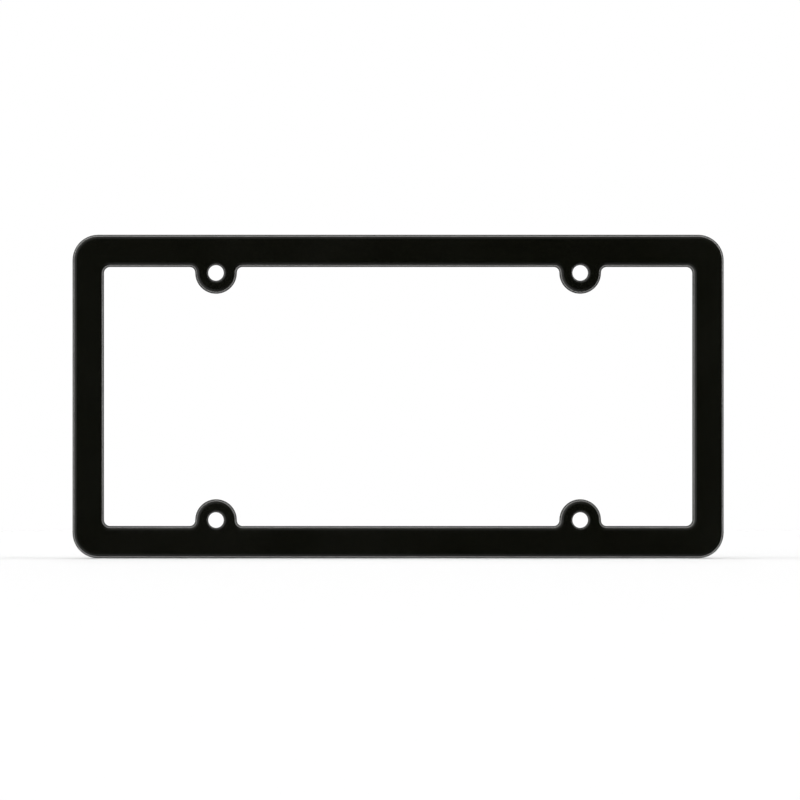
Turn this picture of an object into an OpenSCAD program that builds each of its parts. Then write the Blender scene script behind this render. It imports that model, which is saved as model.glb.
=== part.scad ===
// Number plate frame: one cast ring with four mounting lugs.
// It is drawn face up, with the plate's seat at height 0, and is stood up at the end:
// X across the car, Z up, face towards -Y, origin at the centre of the four holes on the seat.
// Sizes are in millimetres.

/* [Frame] */
// Overall width, over the outer edges
frame_w = 318; // [312:1:340]
// Overall height, over the outer edges
frame_h = 158; // [158:0.5:180]
// Width of the left and right bars, seen from the front
side_bar_w = 15.4; // [12:0.1:30]
// Width of the top and bottom bars, seen from the front
long_bar_w = 15.8; // [12:0.1:17.5]
// Radius of the four outer corners
corner_r = 12.5; // [6:0.5:20]
// Radius of the window's four corners
window_corner_r = 3; // [1:0.1:8]

/* [Section] */
// Height of the face above the plate's seat
face_rise = 3.5; // [3.2:0.1:6]
// Depth of the outer wall behind the seat, which hides the plate's edge
wrap_d = 3.5; // [2:0.1:8]
// Thickness of the outer wall
wall_t = 1.8; // [1.2:0.1:2.4]
// Thickness of the face between the wall and the lip
web_t = 2; // [1.4:0.1:2.6]
// Width of the lip round the window, which bears on the plate
lip_w = 2.8; // [2.4:0.1:4]
// Radius of the face's outer edge
outer_edge_r = 2.4; // [0.5:0.1:2.6]
// Radius of the face's edge round the window and the lugs
inner_edge_r = 2.4; // [1:0.1:2.6]
// Radius of the edges at the back
back_edge_r = 0.4; // [0.1:0.1:0.5]
// Radius in the roots behind the face
root_r = 0.8; // [0.2:0.1:0.9]

/* [Mounting] */
// Distance between the holes, across
bolt_w = 177.8; // [150:0.1:200]
// Distance between the holes, upwards
bolt_h = 120.65; // [112:0.05:122]
// Diameter of the holes
hole_d = 7.6; // [6.4:0.1:10]
// Radius of the holes' front edge
hole_edge_r = 1.4; // [0.2:0.1:1.7]
// Radius of a lug round its hole
lug_r = 10.2; // [9.4:0.1:12]
// Radius of the fillets between a lug and its bar
lug_fillet_r = 2.7; // [1:0.1:4]

/* [Hidden] */

half_w = frame_w / 2;
half_h = frame_h / 2;
window_x = half_w - side_bar_w;
window_y = half_h - long_bar_w;
web_z = face_rise - web_t;
wall_rim_w = max(wall_t + root_r, outer_edge_r);
lip_rim_w = lip_w + root_r;

hole_r = hole_d / 2;
hole_x = bolt_w / 2;
hole_y = bolt_h / 2;
boss_r = lug_r - lip_w / 2;

// A lug is a half circle round its hole, with a fillet each side that starts at or above the hole's
// centre. Above it, a straight neck joins the half circle to the fillets.
fillet_r = min(lug_fillet_r, window_y - hole_y);
fillet_dx = lug_r + fillet_r;
fillet_y = window_y - fillet_r;
neck_h = fillet_y - hole_y;

// A cutter reaches this far past what it cuts
overcut = 1;
// A straight run shorter than this is left out
least_run = 0.001;

// Edges seen from the front: each is a closed row of arcs, followed with the metal on the left.
// An arc is [centre, radius, start angle, sweep]. A positive sweep turns round the metal, and a
// negative one turns round the open side. The other half of an edge is the top half, turned by 180.

function turned(arcs) = [for (arc = arcs) [-arc[0], arc[1], arc[2] + 180, arc[3]]];

function point_on(arc, angle) = arc[0] + arc[1] * [cos(angle), sin(angle)];

function lug_arcs(x) = [
    [[x - fillet_dx, fillet_y], fillet_r, 90, -90],
    [[x, hole_y], lug_r, 180, 180],
    [[x + fillet_dx, fillet_y], fillet_r, 180, -90]
];

outer_top = [
    [[half_w - corner_r, half_h - corner_r], corner_r, 0, 90],
    [[corner_r - half_w, half_h - corner_r], corner_r, 90, 90]
];

window_top = [
    [[window_corner_r - window_x, window_y - window_corner_r], window_corner_r, 180, -90],
    each lug_arcs(-hole_x),
    each lug_arcs(hole_x),
    [[window_x - window_corner_r, window_y - window_corner_r], window_corner_r, 90, -90]
];

outer_edge = [each outer_top, each turned(outer_top)];
window_edge = [each window_top, each turned(window_top)];

// Sections: x runs into the metal from the edge that is followed, y is the height

// Rounds one square corner of a section. into is the way from the corner into the metal.
module rounded(corner, into, r) {
    difference() {
        children();
        translate(corner + r * into)
            mirror([into.x > 0 ? 1 : 0, 0])
                mirror([0, into.y > 0 ? 1 : 0])
                    difference() {
                        square(r + overcut);
                        circle(r);
                    }
    }
}

// The fillet in the root between a wall and the back of the face
module root(wall_x) {
    translate([wall_x, web_z - root_r])
        difference() {
            square(root_r);
            translate([root_r, 0])
                circle(root_r);
        }
}

module outer_section() {
    rounded([0, face_rise], [1, -1], outer_edge_r)
        rounded([0, -wrap_d], [1, 1], back_edge_r)
            rounded([wall_t, -wrap_d], [-1, 1], back_edge_r) {
                translate([0, -wrap_d])
                    square([wall_t, wrap_d + face_rise]);
                translate([0, web_z])
                    square([wall_rim_w, web_t]);
            }
    root(wall_t);
}

module lip_section() {
    rounded([0, face_rise], [1, -1], inner_edge_r)
        rounded([0, 0], [1, 1], back_edge_r)
            rounded([lip_w, 0], [-1, 1], back_edge_r) {
                square([lip_w, face_rise]);
                translate([0, web_z])
                    square([lip_rim_w, web_t]);
            }
    root(lip_w);
}

// Half of the boss behind a lug: x runs out from the hole's axis
module boss_section() {
    rounded([boss_r, 0], [-1, 1], back_edge_r)
        square([boss_r, web_z]);
    root(boss_r);
}

// Half of the bore: a straight hole whose front edge is rounded
module bore_section() {
    translate([0, -overcut])
        square([hole_r, overcut + face_rise - hole_edge_r]);
    translate([0, face_rise - hole_edge_r])
        difference() {
            square([hole_r + hole_edge_r, hole_edge_r + overcut]);
            translate([hole_r + hole_edge_r, 0])
                circle(hole_edge_r);
        }
}

// Sweeps a section along an edge, round its arcs and along the straights between them

module bend(arc) {
    translate(arc[0])
        rotate(min(arc[2], arc[2] + arc[3]))
            rotate_extrude(angle = abs(arc[3]))
                translate([arc[1], 0])
                    mirror([arc[3] > 0 ? 1 : 0, 0])
                        children();
}

module run(from, to) {
    way = to - from;
    if (norm(way) > least_run)
        translate(from)
            rotate(atan2(way.y, way.x))
                rotate([90, 0, 90])
                    linear_extrude(norm(way))
                        children();
}

module rim(edge) {
    for (i = [0 : len(edge) - 1]) {
        arc = edge[i];
        next = edge[(i + 1) % len(edge)];
        bend(arc)
            children();
        run(point_on(arc, arc[2] + arc[3]), point_on(next, next[2]))
            children();
    }
}

// The flat face, which joins the rims

// A plate with round corners, by its half width, half height and corner radius
module rounded_plate(x, y, r) {
    square([2 * x, 2 * (y - r)], center = true);
    square([2 * (x - r), 2 * y], center = true);
    for (side = [-1, 1], end = [-1, 1])
        translate([side * (x - r), end * (y - r)])
            circle(r);
}

// The top right lug's flat face and what joins it to its bar
module lug_web() {
    difference() {
        translate([hole_x - fillet_dx, hole_y])
            square([2 * fillet_dx, window_y + lip_rim_w - hole_y]);
        for (side = [-1, 1])
            translate([hole_x + side * fillet_dx, fillet_y]) {
                circle(fillet_r + lip_rim_w);
                translate([-fillet_r - lip_rim_w, -neck_h])
                    square([2 * (fillet_r + lip_rim_w), neck_h]);
            }
    }
    translate([hole_x, hole_y])
        circle(lug_r - lip_rim_w);
}

module web() {
    translate([0, 0, web_z])
        linear_extrude(web_t) {
            difference() {
                rounded_plate(half_w - wall_rim_w, half_h - wall_rim_w, corner_r - wall_rim_w);
                rounded_plate(window_x + lip_rim_w, window_y + lip_rim_w, window_corner_r + lip_rim_w);
            }
            for (flip_x = [0, 1], flip_y = [0, 1])
                mirror([flip_x, 0])
                    mirror([0, flip_y])
                        lug_web();
        }
}

module at_each_hole() {
    for (x = [-hole_x, hole_x], y = [-hole_y, hole_y])
        translate([x, y])
            children();
}

module frame() {
    color([0.055, 0.059, 0.039])
        rotate([90, 0, 0])
            difference() {
                union() {
                    rim(outer_edge)
                        outer_section();
                    rim(window_edge)
                        lip_section();
                    at_each_hole()
                        rotate_extrude()
                            boss_section();
                    web();
                }
                at_each_hole()
                    rotate_extrude()
                        bore_section();
            }
}

frame();
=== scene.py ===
import math

import bmesh
import bpy
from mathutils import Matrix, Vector


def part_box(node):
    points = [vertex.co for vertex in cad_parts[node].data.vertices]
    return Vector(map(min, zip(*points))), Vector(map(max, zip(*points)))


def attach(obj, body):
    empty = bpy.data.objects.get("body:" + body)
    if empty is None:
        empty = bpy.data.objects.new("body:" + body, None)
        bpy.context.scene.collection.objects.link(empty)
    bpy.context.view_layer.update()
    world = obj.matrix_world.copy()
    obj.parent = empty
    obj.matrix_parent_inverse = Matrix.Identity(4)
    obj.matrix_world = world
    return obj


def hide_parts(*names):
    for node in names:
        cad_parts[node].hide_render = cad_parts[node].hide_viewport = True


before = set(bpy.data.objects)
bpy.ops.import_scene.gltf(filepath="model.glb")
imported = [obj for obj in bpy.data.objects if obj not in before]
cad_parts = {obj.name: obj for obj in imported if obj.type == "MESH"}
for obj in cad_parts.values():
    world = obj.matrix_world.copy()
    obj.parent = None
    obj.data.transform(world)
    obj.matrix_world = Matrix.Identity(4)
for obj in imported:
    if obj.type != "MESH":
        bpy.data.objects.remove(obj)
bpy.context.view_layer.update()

# X runs along the long bars, the face looks towards -Y, and Z is up.

FRAME_LOW, FRAME_HIGH = (Vector(corner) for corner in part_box("frame"))

# The photograph is 800 px square. In it the plate frame is 652 px wide, and its centre is at
# (398.1, 396.5). The camera looks straight at the face, from far off.
IMAGE_PX = 800
FRAME_WIDTH_PX = 652
CENTRE_PX = (398.1, 396.5)
SENSOR_MM = 36
LENS_MM = 200

FLOOR_FRONT_M = 1.45
FLOOR_BACK_M = 0.45
FLOOR_HALF_WIDTH_M = 1.2
FLOOR_GREY = (0.66, 0.66, 0.66, 1)
FLOOR_ROUGHNESS = 0.9

WHITE = (1, 1, 1, 1)
RING_STRENGTH = 7.0
# Shares of a light, by how far back it comes from: 0 straight in front, 0.5 beside, 1 straight behind
RING_FRONT = [(0.27, 0.0), (0.35, 0.06), (0.41, 0.10), (0.455, 1.0)]
RING_BACK = [(0.535, 1.0), (0.60, 0.01), (0.76, 0.01), (0.84, 0.06), (0.94, 0.15)]
FILL = [(0.008, 0.0), (0.03, 0.55), (0.30, 0.7), (0.42, 0.0)]
# The fill fades from the first strength to the second between these two directions along X
FILL_X = (-0.7, 0.5)
FILL_STRENGTH = (1.3, 0.0)

# Corners nearer than this are one, and faces that meet at less than this angle shade as one
MERGE_M = 0.000002
SHARP_ANGLE = math.radians(50)
# Out of 100: how strongly the large faces pull the normals of the rounds beside them
LARGE_FACE_PULL = 100
# The skin's own attribute: 1 where it bends outwards, 0 elsewhere
RAISED = "raised"

# The coat's noises: cells to a metre, detail and roughness
DRIFT = (22.0, 3.0, 0.5)
PATCHES = (160.0, 4.0, 0.65)
PEEL = (600.0, 2.0, 0.5)
GRAIN = (2400.0, 2.0, 0.6)
# The values of a noise that a change runs over: most of them, or the middle ones
MOST_VALUES = (0.3, 0.7)
MIDDLE_VALUES = (0.35, 0.65)
# The coat's bumps: strength, and height in metres
PEEL_BUMP = (0.5, 0.00006)
GRAIN_BUMP = (0.4, 0.00002)
# Its colours, where it is deepest, where it is palest, and the lighter grey on the edges' crowns,
# which is partly a thin, worn coat and partly a painted highlight
DEEP_BLACK = (0.0038, 0.0042, 0.0018)
PALE_BLACK = (0.0049, 0.0053, 0.0026)
WORN_EDGE_AND_HIGHLIGHT_GREY = (0.060, 0.059, 0.055)
# Its roughness, and what the worn coat on the edges adds to it
COAT_ROUGHNESS = (0.20, 0.24)
THIN_ROUGHNESS = 0.03
COAT_IOR = 1.5
# How strong the worn coat and painted highlight are, by how far the skin faces along Y, and how much
# of that a patch leaves
CROWN_HIGHLIGHT_BAND = [(0.50, 0.0), (0.64, 1.0), (0.76, 1.0), (0.90, 0.0)]
PATCH_WEAR_AND_HIGHLIGHT = (0.65, 1.0)


def add_object(name, data):
    thing = bpy.data.objects.new(name, data)
    bpy.context.collection.objects.link(thing)
    return thing


def empty_tree(owner):
    """The node tree of a material or a world, with nothing in it."""
    owner.use_nodes = True
    owner.node_tree.nodes.clear()
    return owner.node_tree


def link(tree, source, target):
    tree.links.new(source, target)


def one_shader(name):
    """A new material with one Principled shader, and that shader."""
    material = bpy.data.materials.new(name)
    tree = empty_tree(material)
    shader = tree.nodes.new("ShaderNodeBsdfPrincipled")
    output = tree.nodes.new("ShaderNodeOutputMaterial")
    link(tree, shader.outputs["BSDF"], output.inputs["Surface"])
    return material, shader


def noise(tree, where, pattern):
    node = tree.nodes.new("ShaderNodeTexNoise")
    for name, value in zip(("Scale", "Detail", "Roughness"), pattern):
        node.inputs[name].default_value = value
    link(tree, where, node.inputs["Vector"])
    return node.outputs["Fac"]


def remap(tree, value, before, after):
    """The value, moved and stretched from one range to another, and kept inside it."""
    node = tree.nodes.new("ShaderNodeMapRange")
    for name, limit in zip(("From Min", "From Max", "To Min", "To Max"), (*before, *after)):
        node.inputs[name].default_value = limit
    link(tree, value, node.inputs["Value"])
    return node.outputs["Result"]


def blend_colours(tree, factor, first, second):
    """Each colour is three numbers or another node's output."""
    node = tree.nodes.new("ShaderNodeMix")
    node.data_type = "RGBA"
    for colour, target in ((first, node.inputs["A"]), (second, node.inputs["B"])):
        if isinstance(colour, tuple):
            target.default_value = (*colour, 1)
        else:
            link(tree, colour, target)
    link(tree, factor, node.inputs["Factor"])
    return node.outputs["Result"]


def bump(tree, height, size, under=None):
    node = tree.nodes.new("ShaderNodeBump")
    for name, value in zip(("Strength", "Distance"), size):
        node.inputs[name].default_value = value
    link(tree, height, node.inputs["Height"])
    if under is not None:
        link(tree, under, node.inputs["Normal"])
    return node.outputs["Normal"]


def ramp(tree, value, stops):
    """A smooth curve of strength along value, which runs from 0 to 1."""
    node = tree.nodes.new("ShaderNodeValToRGB")
    node.color_ramp.interpolation = "EASE"
    elements = node.color_ramp.elements
    while len(elements) < len(stops):
        elements.new(0.5)
    for element, (place, strength) in zip(elements, stops):
        element.position = place
        element.color = (strength, strength, strength, 1)
    link(tree, value, node.inputs["Fac"])
    return node.outputs["Color"]


def maths(tree, operation, first, second=0.0):
    """Each value is a float or another node's output."""
    node = tree.nodes.new("ShaderNodeMath")
    node.operation = operation
    for source, target in zip((first, second), node.inputs):
        if isinstance(source, float):
            target.default_value = source
        else:
            link(tree, source, target)
    return node.outputs["Value"]


def thin_edges_and_painted_highlight(tree, place):
    """How strongly each spot shows the thin, worn coat and the painted highlight: in patches along the
    crown of each raised, rounded edge.
    """
    facing = tree.nodes.new("ShaderNodeSeparateXYZ")
    link(tree, place.outputs["Normal"], facing.inputs["Vector"])
    along_y = maths(tree, "ABSOLUTE", facing.outputs["Y"])
    raised = tree.nodes.new("ShaderNodeAttribute")
    raised.attribute_name = RAISED
    # The crown band is where the rounded edges catch the light, so this mask paints a highlight as
    # well as wear
    crown = maths(tree, "MULTIPLY", ramp(tree, along_y, CROWN_HIGHLIGHT_BAND), raised.outputs["Fac"])
    patches = noise(tree, place.outputs["Object"], PATCHES)
    return maths(tree, "MULTIPLY", crown, remap(tree, patches, MOST_VALUES, PATCH_WEAR_AND_HIGHLIGHT))


def black_powder_coat():
    """Black powder coat: fine grain over soft orange peel, a drifting tone, and along the edges a
    lighter grey that is partly a thin, worn coat and partly a painted highlight.
    """
    material, shader = one_shader("black_powder_coat")
    tree = material.node_tree
    place = tree.nodes.new("ShaderNodeTexCoord")
    where = place.outputs["Object"]
    wear_and_highlight = thin_edges_and_painted_highlight(tree, place)
    drift = noise(tree, where, DRIFT)

    tone = remap(tree, drift, MIDDLE_VALUES, (0.0, 1.0))
    black = blend_colours(tree, tone, DEEP_BLACK, PALE_BLACK)
    # The crowns of the edges turn lighter grey: partly wear, partly a painted highlight
    link(tree, blend_colours(tree, wear_and_highlight, black, WORN_EDGE_AND_HIGHLIGHT_GREY), shader.inputs["Base Color"])

    sheen = remap(tree, drift, MOST_VALUES, COAT_ROUGHNESS)
    duller = maths(tree, "MULTIPLY", wear_and_highlight, THIN_ROUGHNESS)
    link(tree, maths(tree, "ADD", sheen, duller), shader.inputs["Roughness"])
    shader.inputs["IOR"].default_value = COAT_IOR

    peel = bump(tree, noise(tree, where, PEEL), PEEL_BUMP)
    grain = bump(tree, noise(tree, where, GRAIN), GRAIN_BUMP, peel)
    link(tree, grain, shader.inputs["Normal"])
    return material


def merged_skin():
    """The CAD skin in one piece, smooth between its sharp edges, with its raised surfaces marked."""
    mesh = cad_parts["frame"].data.copy()
    mesh.name = "coated_frame"
    form = bmesh.new()
    form.from_mesh(mesh)
    bmesh.ops.remove_doubles(form, verts=form.verts, dist=MERGE_M)
    for face in form.faces:
        face.smooth = True
    for edge in form.edges:
        edge.smooth = edge.calc_face_angle(0.0) < SHARP_ANGLE
    raised = form.verts.layers.float.new(RAISED)
    for vert in form.verts:
        bends = [edge.calc_face_angle_signed(0.0) * edge.calc_length() for edge in vert.link_edges]
        vert[raised] = 1.0 if sum(bends) > 0 else 0.0
    form.to_mesh(mesh)
    form.free()
    # The stored normals go, because the frame's modifier works out its own
    if "custom_normal" in mesh.attributes:
        mesh.attributes.remove(mesh.attributes["custom_normal"])
    return mesh


def coated_frame():
    """The normals follow the large faces, so that the rounds reflect evenly."""
    mesh = merged_skin()
    mesh.materials.clear()
    mesh.materials.append(black_powder_coat())
    piece = add_object("coated_frame", mesh)
    evened = piece.modifiers.new("even_normals", "WEIGHTED_NORMAL")
    evened.mode = "FACE_AREA"
    evened.weight = LARGE_FACE_PULL
    evened.keep_sharp = True
    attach(piece, "root")
    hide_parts("frame")


def floor_finish():
    material, shader = one_shader("pale_floor")
    shader.inputs["Base Color"].default_value = FLOOR_GREY
    shader.inputs["Roughness"].default_value = FLOOR_ROUGHNESS
    return material


def pale_floor():
    """It lies under the frame's lower edge, and the coat doesn't reflect it."""
    mesh = bpy.data.meshes.new("floor")
    form = bmesh.new()
    bmesh.ops.create_grid(form, x_segments=1, y_segments=1, size=1.0)
    half_depth = (FLOOR_FRONT_M + FLOOR_BACK_M) / 2
    centre_y = (FLOOR_BACK_M - FLOOR_FRONT_M) / 2
    bmesh.ops.scale(form, vec=(FLOOR_HALF_WIDTH_M, half_depth, 1), verts=form.verts)
    bmesh.ops.translate(form, vec=(0, centre_y, FRAME_LOW.z), verts=form.verts)
    form.to_mesh(mesh)
    form.free()
    mesh.materials.append(floor_finish())
    floor = add_object("floor", mesh)
    floor.visible_glossy = False


def white_background(tree):
    node = tree.nodes.new("ShaderNodeBackground")
    node.inputs["Color"].default_value = WHITE
    return node


def studio_world():
    """White to the camera. The coat reflects a bright ring beside it and a soft fill from the left."""
    world = bpy.data.worlds.new("studio")
    bpy.context.scene.world = world
    tree = empty_tree(world)
    direction = tree.nodes.new("ShaderNodeSeparateXYZ")
    link(tree, tree.nodes.new("ShaderNodeTexCoord").outputs["Generated"], direction.inputs["Vector"])
    how_far_back = remap(tree, direction.outputs["Y"], (-1.0, 1.0), (0.0, 1.0))
    ring = maths(tree, "MULTIPLY", ramp(tree, how_far_back, RING_FRONT + RING_BACK), RING_STRENGTH)
    from_left = remap(tree, direction.outputs["X"], FILL_X, FILL_STRENGTH)
    fill = maths(tree, "MULTIPLY", ramp(tree, how_far_back, FILL), from_left)
    lit = white_background(tree)
    link(tree, maths(tree, "ADD", ring, fill), lit.inputs["Strength"])
    plain = white_background(tree)
    ray = tree.nodes.new("ShaderNodeLightPath")
    mix = tree.nodes.new("ShaderNodeMixShader")
    link(tree, ray.outputs["Is Camera Ray"], mix.inputs["Fac"])
    link(tree, lit.outputs["Background"], mix.inputs[1])
    link(tree, plain.outputs["Background"], mix.inputs[2])
    output = tree.nodes.new("ShaderNodeOutputWorld")
    link(tree, mix.outputs["Shader"], output.inputs["Surface"])


def camera():
    """Set so far back that the frame is as wide in the picture as in the photograph."""
    data = bpy.data.cameras.new("camera")
    data.sensor_width = SENSOR_MM
    data.lens = LENS_MM
    m_per_px = (FRAME_HIGH.x - FRAME_LOW.x) / FRAME_WIDTH_PX
    distance = IMAGE_PX * m_per_px * LENS_MM / SENSOR_MM
    across = (IMAGE_PX / 2 - CENTRE_PX[0]) * m_per_px
    down = (IMAGE_PX / 2 - CENTRE_PX[1]) * m_per_px
    centre = (FRAME_LOW + FRAME_HIGH) / 2
    eye = add_object("camera", data)
    eye.location = (centre.x + across, FRAME_LOW.y - distance, centre.z - down)
    eye.rotation_euler = (math.radians(90), 0, 0)
    bpy.context.scene.camera = eye


coated_frame()
pale_floor()
studio_world()
camera()

scene = bpy.context.scene
scene.view_settings.view_transform = "Standard"
scene.view_settings.look = "None"
